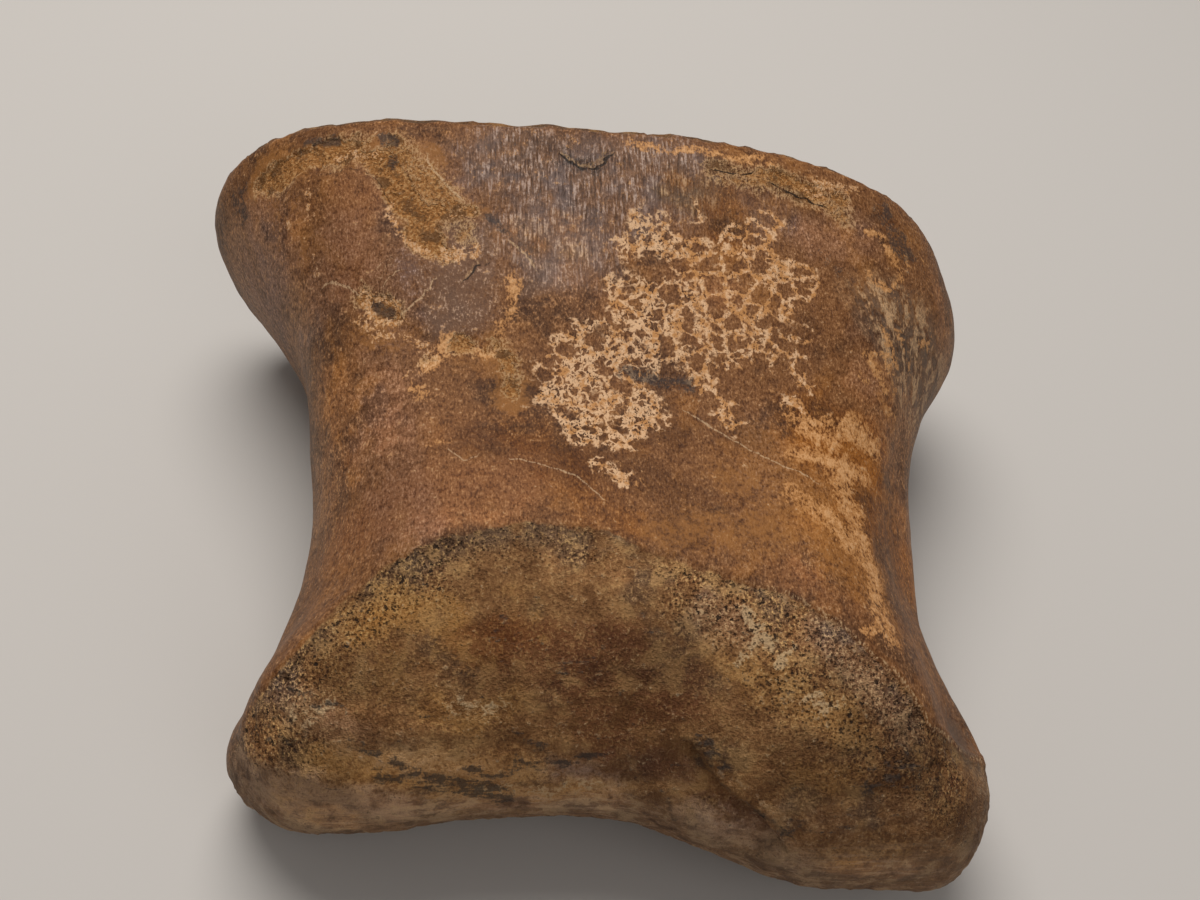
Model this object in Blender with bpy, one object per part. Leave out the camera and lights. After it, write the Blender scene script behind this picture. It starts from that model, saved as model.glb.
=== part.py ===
"""Fossil toe bone of a duck-billed dinosaur: the first phalanx of a hind toe, life size, lying on its sole.

Frame: +X is the bone's right side seen from its far (distal) end, +Y runs from the far end to the near
(proximal) end, +Z is up. The origin is the middle of the bone's footprint on the surface it rests on.

The bone is one solid piece. A cube's grid of faces is laid over it, with the cube's edges near the bone's own
edges, and each point is then pulled on to the surface that the named sizes describe.
"""

import bmesh
import bpy
import numpy as np

MM = 0.001  # the sizes below are in millimetres, and the finished mesh is in metres

# Faces of the grid across, along and up the bone
GRID = (34, 32, 19)
EDGE_ROUNDING = 7.0  # a higher power keeps the grid's corner points nearer the cube's corners
EVENING_ROUNDS = 12  # times the points are spread evenly and pulled back to the surface
PULLS = 3

# Places along the bone, from the far end to the near end, and the half widths there
SIDE_PLACES = (-58, -42, -27, -10, 8, 26, 42, 56)
LEFT_HALF_WIDTHS = (55, 62.5, 54, 50.5, 52, 53.75, 62.5, 72)
RIGHT_HALF_WIDTHS = (57, 60.75, 56, 52.75, 54.5, 61, 70, 68.5)

# Each section is widest at this height, and narrows above and below it
WIDEST_PLACES = (-58, -25, 5, 38, 56)
WIDEST_HEIGHTS = (27.75, 25, 24, 37.5, 38.5)
LEAN_ABOVE = (0.76, 0.66, 0.17, 0.08, 0.08)
ROUNDING_BELOW = (0.11, 0.10, 0.25, 0.34, 0.34)
BELOW_REACH = 38.0
LEAN_START = 3.0

# Height of the upper (dorsal) surface along the midline, and how far it arches down at the sides
TOP_PLACES = (-56, -35, -17, 5, 25, 42, 56)
TOP_HEIGHTS = (52, 53.5, 54.5, 55, 60.5, 65, 69)
ARCH_PLACES = (-56, -20, 5, 56)
ARCH_DROPS = (7.25, 8, 9, 11.5)
ARCH_POWERS = (2.7, 2.7, 2.7, 3.2)
ARCH_HALF_WIDTH = 56.0
TILT = 0.037  # the upper surface falls towards +X

# Height of the lower (plantar) surface: an arch along the bone, and a trough down its middle
SOLE_PLACES = (-56, -30, -8, 10, 30, 56)
SOLE_HEIGHTS = (-1, -1, 7, 7, -1, -1)
TROUGH_PLACES = (-56, -28, 0, 30, 56)
TROUGH_DEPTHS = (4, 4, 3, 4, 6)
TROUGH_HALF_WIDTH = 20.0

# How far the rolling joint surface at the far end reaches, from -X to +X: two condyles and a hollow between
CONDYLE_PLACES = (-58, -40, -20, 2, 15, 27, 43, 58)
CONDYLE_REACH = (57.25, 57, 54.5, 54.75, 58.5, 62.25, 62, 61.25)
ROLL_LENGTH = 1.25  # the rolling surface's length over its half height

# The upper edge of that joint surface, which lies a little below the bone around it: Y at places across it
MARGIN_PLACES = (-64, -50, -37, -16, 2, 25, 42, 55)
MARGIN_Y = (-43, -37, -25, -20, -23.5, -31, -43, -47)
LEDGE_DEPTH = 1.1
LEDGE_WIDTH = 4.5
LEDGE_FADES = (9.0, 24.0)  # distances past the edge over which the joint surface rises again
LEDGE_FOOT = (32.0, 44.0)  # heights over which the ledge dies out down the sides

# The near end's joint surface: a shallow oval cup inside a rim
RIM_PLACES = (-66, -35, 0, 35, 66)
RIM_REACH = (62.25, 58.5, 58.25, 59.25, 59.75)
CUP_DEPTH = 7.0
CUP_CENTRE_HEIGHT = 37.0
CUP_HALF_SIZE = (66.0, 38.0)
CUP_POWER = 1.3

# The two ends are set slightly askew to the shaft
FAR_SKEW = 0.062
NEAR_SKEW = 0.070

# Radii of the edges between the slab of the bone and its sides, and round the near rim
EDGE_PLACES = (-56, -25, 0, 56)
EDGE_RADII = (9, 11, 18, 16)
RIM_RADIUS = 9.0

# The bone rests on small flats worn at one level
FLAT_LEVEL = 0.0
FLAT_RADIUS = 2.0

# Local forms: centre, half size along each axis, and height (a negative one is a hollow)
LOCAL_FORMS = {
    "left ligament pit": ((-57, -37, 29), (10, 10, 9), -4.0),
    "right ligament pit": ((56, -43, 37), (7, 9, 8), -5.0),
    "left side hollow": ((-56, 12, 27), (10, 22, 13), -2.0),
    "right side lump": ((54, -6, 20), (8, 14, 11), 3.2),
    "right side groove": ((53, -10, 38), (5, 18, 5), -2.0),
    "hollow between the condyles": ((1, -50, 42), (13, 12, 14), -1.2),
    "left heel": ((-36, 44, 2), (17, 11, 9), 3.0),
    "right heel": ((38, 44, 2), (17, 11, 9), 3.0),
    "tendon rise": ((4, 46, 66), (26, 13, 12), 1.5),
}


def smooth_max(a, b, radius):
    """The larger of two fields, with the edge where they meet rounded."""
    near = np.maximum(radius - np.abs(a - b), 0.0) / radius
    return np.maximum(a, b) + near * near * radius * 0.25


def ramp(start, end, value):
    """0 before start, 1 after end, and smooth between them."""
    t = np.clip((value - start) / (end - start), 0.0, 1.0)
    return t * t * (3.0 - 2.0 * t)


def swell(value, centre, half_width):
    return np.exp(-(((value - centre) / half_width) ** 2))


def through(places, sizes, value):
    """A smooth curve through named sizes at their places, read at value."""
    places = np.array(places, float)
    sizes = np.array(sizes, float)
    slopes = np.gradient(sizes, places)
    value = np.clip(value, places[0], places[-1])
    i = np.clip(np.searchsorted(places, value) - 1, 0, len(places) - 2)
    gap = places[i + 1] - places[i]
    t = (value - places[i]) / gap
    return (
        (2 * t**3 - 3 * t**2 + 1) * sizes[i]
        + (t**3 - 2 * t**2 + t) * gap * slopes[i]
        + (3 * t**2 - 2 * t**3) * sizes[i + 1]
        + (t**3 - t**2) * gap * slopes[i + 1]
    )


def straightened(x, y):
    """Place along the bone, with the skew of its two ends taken out."""
    near = ramp(-40, 40, y)
    return y + (FAR_SKEW * (1 - near) + NEAR_SKEW * near) * x


def half_width(x, y):
    left = through(SIDE_PLACES, LEFT_HALF_WIDTHS, y)
    right = through(SIDE_PLACES, RIGHT_HALF_WIDTHS, y)
    return np.where(x < 0, left, right)


def side_excess(x, y, z):
    """How far a point lies outside the bone's sides."""
    widest = through(WIDEST_PLACES, WIDEST_HEIGHTS, y)
    above = np.maximum(z - widest, 0)
    below = np.maximum(widest - z, 0)
    lean = through(WIDEST_PLACES, LEAN_ABOVE, y) * above * above / (above + LEAN_START)
    under = through(WIDEST_PLACES, ROUNDING_BELOW, y) * below * below / BELOW_REACH
    return np.abs(x) - half_width(x, y) + lean + under


def slab_excess(x, y, z):
    """How far a point lies outside the upper and lower surfaces and the roller at their far end."""
    arch = (np.abs(x) / ARCH_HALF_WIDTH) ** through(ARCH_PLACES, ARCH_POWERS, y)
    top = through(TOP_PLACES, TOP_HEIGHTS, y) - through(ARCH_PLACES, ARCH_DROPS, y) * arch
    trough = through(TROUGH_PLACES, TROUGH_DEPTHS, y) * swell(x, 0, TROUGH_HALF_WIDTH)
    sole = through(SOLE_PLACES, SOLE_HEIGHTS, y) + trough
    radius = (top - sole) / 2
    roll = radius * ROLL_LENGTH
    beyond = np.minimum(y + through(CONDYLE_PLACES, CONDYLE_REACH, x) - roll, 0) / ROLL_LENGTH
    return np.hypot(beyond, z - (top + sole) / 2) - radius


def ledge(x, y, z):
    """How far the far joint surface lies below the bone around it, which shows most along its upper edge."""
    past = through(MARGIN_PLACES, MARGIN_Y, x) - y
    return LEDGE_DEPTH * ramp(0, LEDGE_WIDTH, past) * (1 - ramp(*LEDGE_FADES, past)) * ramp(*LEDGE_FOOT, z)


def near_end_excess(x, y, z):
    """How far a point lies outside the near end's cup and rim."""
    across = x / CUP_HALF_SIZE[0]
    up = (z - CUP_CENTRE_HEIGHT) / CUP_HALF_SIZE[1]
    cup = CUP_DEPTH * (1 - np.clip(across**2 + up**2, 0, 1)) ** CUP_POWER
    return y - through(RIM_PLACES, RIM_REACH, x) + cup


def excess(points):
    """Positive outside the bone, negative inside, and about a distance in millimetres near its surface."""
    x, y, z = points[..., 0], points[..., 1], points[..., 2]
    along = straightened(x, y)
    up = z + TILT * x * ramp(0, 30, z)
    slab = slab_excess(x, along, up)
    field = smooth_max(slab, side_excess(x, along, up), through(EDGE_PLACES, EDGE_RADII, along))
    field = smooth_max(field, near_end_excess(x, along, z), RIM_RADIUS) + ledge(x, y, z)
    for centre, half_size, height in LOCAL_FORMS.values():
        gap = (points - np.array(centre)) / np.array(half_size)
        field = field - height * np.exp(-(gap**2).sum(-1))
    return smooth_max(field, FLAT_LEVEL - z, FLAT_RADIUS)


def pulled_to_surface(points, pulls):
    """Each point moved down the slope of the field until it lies on the bone's surface."""
    nudge = 0.1
    for _ in range(pulls):
        slope = np.stack(
            [(excess(points + d) - excess(points - d)) / (2 * nudge) for d in nudge * np.eye(3)], -1
        )
        steepness = np.maximum((slope * slope).sum(-1), 0.3)
        points = points - 0.9 * (excess(points) / steepness)[:, None] * slope
    return points


def laid_over_bone(cube):
    """The cube's points, from -1 to 1 each way, rounded and stretched to the bone's rough size."""
    rounded = cube / (np.abs(cube) ** EDGE_ROUNDING).sum(1, keepdims=True) ** (1 / EDGE_ROUNDING)
    y = rounded[:, 1] * max(RIM_REACH)
    x = rounded[:, 0] * half_width(rounded[:, 0], y)
    z = through(TOP_PLACES, TOP_HEIGHTS, y) * (rounded[:, 2] + 1) / 2
    return np.stack([x, y - FAR_SKEW * x, z], -1)


def cube_grid(counts):
    """A cube from -1 to 1 whose edges along X, Y and Z are divided into counts faces."""
    grid = bmesh.new()
    bmesh.ops.create_cube(grid, size=2.0)
    for axis, count in enumerate(counts):
        along = [e for e in grid.edges if abs(e.verts[0].co[axis] - e.verts[1].co[axis]) > 1.9]
        bmesh.ops.subdivide_edges(grid, edges=along, cuts=count - 1, use_grid_fill=True)
    return grid


def points_of(grid):
    return np.array([v.co for v in grid.verts], float)


def move_points(grid, points):
    for vert, place in zip(grid.verts, points):
        vert.co = place


def fossil_material():
    material = bpy.data.materials.new("fossil_bone")
    material.use_nodes = True
    shader = material.node_tree.nodes["Principled BSDF"]
    shader.inputs["Base Color"].default_value = (0.20, 0.095, 0.043, 1.0)
    shader.inputs["Roughness"].default_value = 0.55
    shader.inputs["Metallic"].default_value = 0.0
    return material


def toe_bone():
    grid = cube_grid(GRID)
    move_points(grid, pulled_to_surface(laid_over_bone(points_of(grid)), PULLS))
    for _ in range(EVENING_ROUNDS):
        bmesh.ops.smooth_vert(
            grid, verts=grid.verts, factor=0.5, use_axis_x=True, use_axis_y=True, use_axis_z=True
        )
        move_points(grid, pulled_to_surface(points_of(grid), PULLS))
    points = points_of(grid)
    middle = (points.min(0) + points.max(0)) / 2
    origin = np.array([middle[0], middle[1], points[:, 2].min()])
    move_points(grid, (points - origin) * MM)
    mesh = bpy.data.meshes.new("toe_bone")
    grid.to_mesh(mesh)
    grid.free()
    mesh.shade_smooth()
    mesh.materials.append(fossil_material())
    return bpy.data.objects.new("toe_bone", mesh)


def main():
    for obj in list(bpy.data.objects):
        bpy.data.objects.remove(obj)
    collection = bpy.data.collections.new("hadrosaur_toe_bone")
    bpy.context.scene.collection.children.link(collection)
    collection.objects.link(toe_bone())


main()
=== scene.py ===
"""The looks of a fossil hadrosaur toe bone: its worn, flaked and pitted surface, its stains and its stage.

Frame: +X is the bone's right seen from its far (distal) end, +Y runs from the far end to the near end, and +Z
is up. Places and sizes of marks are in millimetres in that frame.
"""

import math

import bmesh
import bpy
import numpy as np
from mathutils import Matrix, Vector, noise


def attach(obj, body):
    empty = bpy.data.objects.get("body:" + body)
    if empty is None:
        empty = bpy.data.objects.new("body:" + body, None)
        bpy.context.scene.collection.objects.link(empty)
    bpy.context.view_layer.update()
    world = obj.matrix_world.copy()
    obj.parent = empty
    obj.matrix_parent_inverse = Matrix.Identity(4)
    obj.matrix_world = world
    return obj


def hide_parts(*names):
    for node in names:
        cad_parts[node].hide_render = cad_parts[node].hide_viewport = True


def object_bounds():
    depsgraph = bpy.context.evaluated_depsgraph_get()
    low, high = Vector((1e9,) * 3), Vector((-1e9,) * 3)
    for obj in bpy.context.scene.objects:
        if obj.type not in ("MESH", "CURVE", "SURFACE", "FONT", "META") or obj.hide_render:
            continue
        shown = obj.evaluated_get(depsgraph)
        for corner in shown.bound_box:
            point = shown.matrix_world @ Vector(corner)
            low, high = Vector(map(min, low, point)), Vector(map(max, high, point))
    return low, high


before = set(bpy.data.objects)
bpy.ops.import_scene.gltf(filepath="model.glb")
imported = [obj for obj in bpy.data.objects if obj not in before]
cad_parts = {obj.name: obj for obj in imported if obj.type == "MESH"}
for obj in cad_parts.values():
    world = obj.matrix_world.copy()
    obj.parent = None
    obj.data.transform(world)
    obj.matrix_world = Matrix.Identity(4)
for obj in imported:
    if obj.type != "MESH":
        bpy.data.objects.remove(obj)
CAD_BOX = [list(corner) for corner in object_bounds()]

bl_info = {
    "name": "Fossil Toe Bone",
    "version": (1, 0, 0),
    "blender": (4, 5, 0),
    "location": "View3D > Sidebar > Fossil",
    "description": "Builds a life-size fossil toe bone with its weathered surface, and a plain studio stage",
    "category": "Object",
}

MM = 0.001
CAD_NODE = "toe_bone"
LOW, HIGH = (np.array(corner) / MM for corner in CAD_BOX)

# The edge of the far joint surface on top of the bone: Y at places across it
MARGIN_PLACES = (-64, -57, -49, -43, -37, -28, -16, -5, 2, 11, 25, 35, 42, 47, 55, 64)
MARGIN_Y = (-44, -42, -37, -30.5, -26, -23, -20.5, -21, -24.5, -28, -32, -38.5, -44, -49, -48, -47)

# Marks drawn on the upper face as strokes: the path of each over it, its half width and its strength
STROKES = {
    "lace": {
        "top left tip": (((4, 31), (7, 34), (10, 32), (14, 30)), 3.2, 0.9),
        "top right tip": (((21, 28), (24, 32), (26, 35), (28, 36)), 3.0, 1.0),
        "upper net": (((14, 27), (22, 28), (29, 28.5), (33, 27)), 3.8, 1.0),
        "middle net": (((4, 21), (10, 21), (15, 21.5), (22, 22), (27, 23)), 4.4, 1.0),
        "lower net": (((3, 14), (11, 15), (18, 14.5), (22, 15)), 4.4, 1.0),
        "left lobe top": (((-7.5, 12), (-2, 14)), 3.6, 1.0),
        "left lobe": (((-8.5, 6), (-2, 7), (3, 10)), 4.4, 1.0),
        "left lobe foot": (((-6.5, 0), (-2, 0), (4, 1)), 4.4, 1.0),
        "lowest curls": (((-5, -4), (2, -4)), 2.6, 0.8),
        "right foot": (((15, 8), (18, 3), (20, 0)), 2.4, 0.9),
        "first island": (((27, 15.5), (33, 17.5)), 1.5, 0.8),
        "second island": (((26, 13.5), (31, 12.5)), 2.2, 0.8),
        "third island": (((32, 9), (33, 8.5)), 1.6, 0.7),
        "fourth island": (((29, 4.5), (31, 4)), 1.6, 0.7),
        "loose curl": (((-3, -10), (1, -12)), 1.8, 0.7),
        "high fleck": (((15, 35), (15.5, 38)), 0.8, 0.6),
    },
    "tan": {
        "strip": (((-30, 10.5), (-27, 12.5), (-24, 13.5), (-20, 12)), 1.7, 1.0),
        "upright scar": (((-16.5, 25), (-16, 21), (-17, 18), (-19, 14)), 1.2, 0.8),
        "high right": (((31, 1), (36, 0), (40, 3), (45, 2)), 2.6, 0.9),
        "middle right": (((30, -5), (36, -5), (41, -5)), 2.4, 1.0),
        "right flow": (((37, -9), (39, -16), (40, -23), (40, -30)), 2.4, 0.9),
        "right drift": (((27, -13), (33, -16), (37, -20)), 2.6, 0.8),
        "near the far joint": (((39, -28), (41, -36), (37, -37)), 1.8, 0.8),
        "rim fleck": (((47.5, 39.5), (50.5, 40.5)), 0.8, 0.9),
        "rim flow": (((50, 39.5), (51.5, 37.5), (53.5, 34.5)), 1.1, 0.9),
        "rim bow": (((47, 31.5), (48.5, 30), (50.5, 31), (53, 34.5)), 1.0, 0.9),
        "outer fleck": (((55, 38.5), (55.5, 36.5)), 0.5, 0.8),
        "outermost fleck": (((58, 41), (59.5, 40)), 0.5, 0.8),
        "near band": (((5, 49), (10, 48.5), (16, 49), (22, 48.5), (29, 48.5)), 1.1, 0.8),
        "star": (((-33, 6.5), (-31, 5)), 1.2, 0.8),
        "flank fleck": (((49, 22), (49.5, 20)), 0.8, 0.9),
        "flank bow": (((44.5, 16.5), (46, 17.5), (48, 18.5), (50.5, 18.5)), 0.9, 0.9),
        "outer flank": (((52, 23.5), (53, 22), (54, 20.5)), 0.8, 0.7),
        "outermost flank": (((58, 24.5), (60.5, 28.5)), 0.8, 0.7),
        "flank drop": (((45.5, 15.5), (46.5, 14.5), (48, 13)), 1.0, 0.9),
        "inner flank drop": (((49, 16.5), (50.5, 15), (51, 13)), 0.8, 0.8),
        "low fleck": (((43, 12.5), (44.5, 11.5)), 0.8, 0.8),
        "flank foot": (((47, 10.5), (49, 10), (51.5, 10)), 0.8, 0.7),
        "loose fleck": (((-1, -10.5), (3, -13)), 0.9, 0.6),
        "left fleck": (((-30, -6), (-27, -4)), 1.0, 0.5),
    },
    "cream": {
        "plate lip": (((-36.5, 40), (-36.5, 37), (-35, 34), (-33, 31.5), (-30, 30)), 0.7, 1.0),
        "rim crumbs": (((-46, 50.5), (-40, 50)), 1.5, 0.6),
        "under the chip": (((-41, 20), (-38, 16.5), (-34, 15.5), (-30, 12.5)), 1.2, 0.7),
        "beside the chip": (((-41, 23.5), (-39.5, 20), (-35, 18.5)), 0.7, 0.9),
        "over the chip": (((-42, 26), (-38, 23), (-34.5, 20.5)), 0.5, 0.9),
        "under the strip": (((-34, 9), (-31, 10), (-28, 11)), 0.8, 0.7),
        "branch crumbs": (((-26, 36), (-23, 37)), 1.2, 0.6),
        "lower patch": (((-28, 30), (-25, 28.5), (-23, 30)), 1.4, 0.8),
        "grey rim": (((37, 45), (41, 46), (45, 48)), 1.8, 0.7),
        "first left streak": (((-55, 47), (-54, 40)), 0.8, 0.5),
        "second left streak": (((-51, 48), (-50.5, 40)), 0.8, 0.6),
        "third left streak": (((-50, 38), (-49, 32)), 0.7, 0.4),
    },
    "ochre": {
        "along the near rim": (((-60, 54), (-53, 52), (-46, 51.5), (-40, 50), (-30, 46.5)), 3.2, 1.0),
        "down the plate": (((-37, 46), (-34, 40), (-32, 34), (-29, 31)), 3.0, 1.0),
        "inside the edge": (((-35.5, 49.5), (-30.5, 43.5), (-27, 37.5)), 3.4, 1.0),
        "branch": (((-34, 39), (-28, 37), (-22, 37)), 2.2, 0.9),
        "left wing": (((-57, 50), (-54, 43), (-52, 38)), 3.0, 0.35),
        "speckled patch": (((-20, 13), (-17, 9), (-16.5, 3)), 2.8, 1.0),
        "far middle": (((6, -22), (16, -20), (26, -22)), 4.0, 0.6),
        "right middle": (((16, -10), (26, -16), (32, -24)), 4.0, 0.5),
        "round the chip": (((-40, 19), (-34, 15)), 3.4, 0.6),
    },
    "crumbly": {
        "inside the edge": (((-35.5, 49.5), (-30.5, 43.5), (-27, 37.5), (-24.5, 34)), 3.2, 1.0),
        "upper right rim": (((20, 45), (29, 44.5), (37, 43.5), (43, 42)), 2.6, 0.9),
    },
    "stain": {
        "rim above the plate": (((-52, 54.5), (-46, 54)), 1.0, 1.0),
        "rim above the crack": (((-38, 52), (-36, 51)), 1.1, 1.0),
        "left rim": (((-64, 55), (-63.5, 51)), 1.2, 0.9),
        "rim behind the plate": (((-37.5, 49), (-36, 46)), 1.0, 0.8),
        "right corner": (((51, 45), (52.5, 42.5), (54, 39.5)), 2.8, 0.9),
        "right flank": (((53, 36), (54, 28)), 3.0, 0.35),
        "in the lace": (((2, 8), (7, 7.5), (12.5, 6.5)), 1.9, 0.9),
        "chip": (((-39.5, 22.5), (-36.5, 20)), 1.2, 1.0),
        "plate edge": (((-21, 36.5), (-17, 32.5)), 0.9, 0.8),
        "near the middle": (((-8, 46), (-3, 44.5)), 2.2, 0.6),
        "green patch": (((37.5, 33), (40, 32)), 2.2, 0.45),
    },
    "warm": {
        "amber": (((30.5, -2), (39.5, -2), (44, -3.5)), 4.5, 0.8),
        "right side": (((26, -6), (33, -14), (37, -24)), 8.0, 0.85),
        "far middle": (((6, -18), (20, -24)), 6.0, 0.35),
        "right rim": (((50, 38), (56, 44)), 5.0, 0.2),
        "under the lace": (((-4, 2), (8, -3)), 6.0, 0.2),
    },
    "russet": {
        "left of the joint": (((-40, -16), (-26, -14), (-16, -12)), 7.0, 0.9),
        "left plate": (((-43, 42), (-42, 30)), 5.5, 0.8),
        "left of the middle": (((-34, -2), (-22, -4)), 6.0, 0.5),
        "right joint edge": (((26, -28), (34, -32)), 4.0, 0.6),
    },
    "cool": {
        "left flank": (((-45.5, 36.5), (-46.5, 27)), 5.0, 0.9),
        "left of the plate": (((-37.5, 33), (-37, 15.5), (-36.5, 0), (-33.5, -20)), 6.0, 0.8),
        "above the plate": (((-29, 46.5), (-28, 39)), 4.0, 0.8),
        "left wing": (((-59, 50.5), (-55, 39)), 5.0, 0.8),
        "right top": (((36.5, 35.5), (46.5, 39)), 5.0, 1.0),
        "right rim": (((45, 20.5), (44.5, 11.5)), 4.0, 0.6),
        "middle": (((25, -1.5), (24, -12)), 5.0, 0.7),
    },
    "hot": {
        "right side": (((33.5, 0), (42, -0.5), (42, -9.5)), 8.0, 1.0),
        "far right side": (((51.5, -11.5), (52, -16.5)), 5.0, 1.0),
        "lace top": (((12, 40.5), (19.5, 40.5), (22, 33.5)), 4.0, 1.0),
        "striae": (((-13.5, 31), (-5.5, 31)), 5.0, 0.45),
        "far middle": (((-14, -3.5), (-7, -12.5), (-2, -20)), 6.0, 0.6),
    },
    "light": {
        "lower right flank": (((47.5, 5), (54, 13.5)), 5.0, 1.0),
        "far left wing": (((-64.5, 51.5), (-54.5, 40.5)), 4.0, 1.0),
        "left edge of the plate": (((-37, 8), (-37, -1)), 4.0, 1.0),
        "upper right flank": (((43.5, 11), (51.5, 14)), 4.0, 1.0),
        "above the joint": (((30, -19.5), (29, -25.5)), 4.0, 0.7),
        "left of the lace": (((-13.5, 31), (-5.5, 30.5), (-5.5, 22.5)), 5.0, 0.6),
        "upper right": (((36.5, 35), (46.5, 37.5)), 4.0, 0.7),
        "in the lace": (((17.5, 23.5), (20, 23.5)), 3.0, 0.7),
        "left wing": (((-65, 51.5), (-61.5, 51)), 4.0, 0.9),
        "left wing foot": (((-54.5, 36.5), (-51.5, 27.5)), 3.5, 0.7),
        "left flank": (((-44, 12.5), (-42, -3.5)), 5.0, 0.7),
        "left edge": (((-45.5, 4), (-45.5, -5.5)), 4.0, 0.8),
        "near the green patch": (((35.5, 36), (38, 34)), 3.0, 0.8),
        "right rim": (((64, 36.5), (64, 29.5)), 3.0, 0.9),
        "right flank": (((47, 12.5), (53.5, 9.5)), 4.0, 0.8),
        "right side": (((53.5, 2), (53.5, -15)), 4.0, 0.9),
        "over the lace": (((-6.5, 24), (-4, 20.5)), 3.0, 0.5),
        "by the joint": (((-34, -20), (-16, -19)), 2.6, 0.4),
    },
    "umber": {
        "right corner": (((46.5, 35), (51, 31), (52, 27)), 3.2, 0.6),
        "lobe foot": (((-6.5, -3), (1.5, -2.5), (8.5, -3.5)), 4.0, 0.7),
        "by the lobe": (((-18.5, 6), (-12.5, 6)), 3.6, 1.0),
        "under the lobe": (((-22.5, -4), (-9.5, -9), (3.5, -10.5), (11, -16), (8.5, -21.5)), 4.6, 0.7),
        "right of the lobe": (((12, -2), (23.5, -3)), 3.0, 0.4),
        "left rim": (((-52.5, 57), (-45.5, 55)), 2.4, 0.6),
        "far left rim": (((-64.5, 55), (-59.5, 56)), 2.4, 0.6),
        "middle rim": (((-14, 49), (-10.5, 48)), 2.4, 0.5),
        "right of the lace": (((26.5, 16), (34.5, 18.5)), 3.0, 0.5),
        "above the lace": (((16, 36.5), (23, 34.5)), 3.0, 0.4),
    },
    # The glossy plate: darker bone, with painted highlights (fine glints) over it
    "gloss": {
        "plate": (((-27, 32), (-24, 27), (-25, 20)), 6.5, 1.0),
        "below the plate": (((-32, 27), (-22, 15)), 4.0, 0.6),
        "near the striae": (((-13, 24), (-6, 27)), 4.0, 0.6),
    },
    "striated": {
        "middle": (((-16, 46), (-8, 40), (2, 42), (10, 44)), 9.0, 1.0),
        "towards the lace": (((-14, 32), (-4, 30)), 7.0, 0.8),
        "right": (((18, 40), (28, 38)), 6.0, 0.2),
    },
}

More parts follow.
